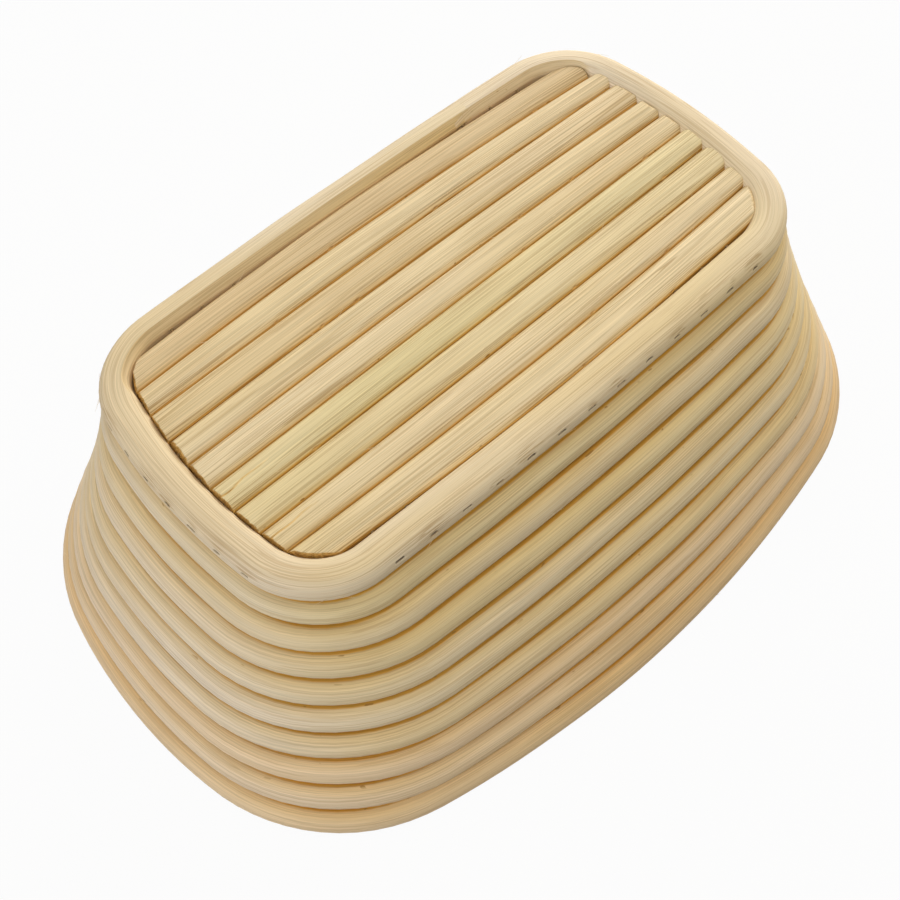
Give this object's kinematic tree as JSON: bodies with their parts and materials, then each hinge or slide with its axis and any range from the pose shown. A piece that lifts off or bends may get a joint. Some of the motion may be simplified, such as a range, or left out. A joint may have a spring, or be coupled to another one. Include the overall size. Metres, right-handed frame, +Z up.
{
  "type": "proofing basket",
  "caption": "Rectangular cane proofing basket with round corners: a spirally wound wall round a floor of straight canes, upside down on its rim.",
  "frame": {"origin": "centre of the footprint, on the plane under the rim", "axes": "+Z up from the rim to the floor, because the basket stands upside down as in the picture and is turned over for use; +X along the long side; the cane's scarfed ends are on the long side at +Y"},
  "size_m": [0.2168, 0.1516, 0.076],
  "materials": {
    "wall_cane": "bare peeled cane, pale straw, lightly sanded",
    "floor_cane": "bare peeled cane, straw with fine lengthwise grain",
    "brad_steel": "plain steel brad, dulled"
  },
  "bodies": {
    "root": {"wound_wall": "wall_cane", "floor_cane_1": "floor_cane", "floor_cane_2": "floor_cane", "floor_cane_3": "floor_cane", "floor_cane_4": "floor_cane", "floor_cane_5": "floor_cane", "floor_cane_6": "floor_cane", "floor_cane_7": "floor_cane", "floor_cane_8": "floor_cane", "floor_cane_9": "floor_cane", "brad_near_end_2": "brad_steel", "brad_near_end_3": "brad_steel", "brad_near_end_4": "brad_steel", "brad_near_end_5": "brad_steel", "brad_near_end_6": "brad_steel", "brad_near_end_7": "brad_steel", "brad_near_end_8": "brad_steel", "brad_far_end_2": "brad_steel", "brad_far_end_3": "brad_steel", "brad_far_end_4": "brad_steel", "brad_far_end_5": "brad_steel", "brad_far_end_6": "brad_steel", "brad_far_end_7": "brad_steel", "brad_far_end_8": "brad_steel", "brad_front_1": "brad_steel", "brad_front_2": "brad_steel", "brad_front_3": "brad_steel", "brad_front_4": "brad_steel", "brad_front_5": "brad_steel", "brad_front_6": "brad_steel", "brad_front_7": "brad_steel", "brad_front_8": "brad_steel", "brad_front_9": "brad_steel", "brad_front_10": "brad_steel", "brad_front_11": "brad_steel", "brad_front_12": "brad_steel", "brad_front_13": "brad_steel", "brad_back_near_1": "brad_steel", "brad_back_near_2": "brad_steel", "brad_back_near_3": "brad_steel", "brad_back_far_1": "brad_steel", "brad_back_far_2": "brad_steel", "brad_back_far_3": "brad_steel"}
  },
  "joints": []
}
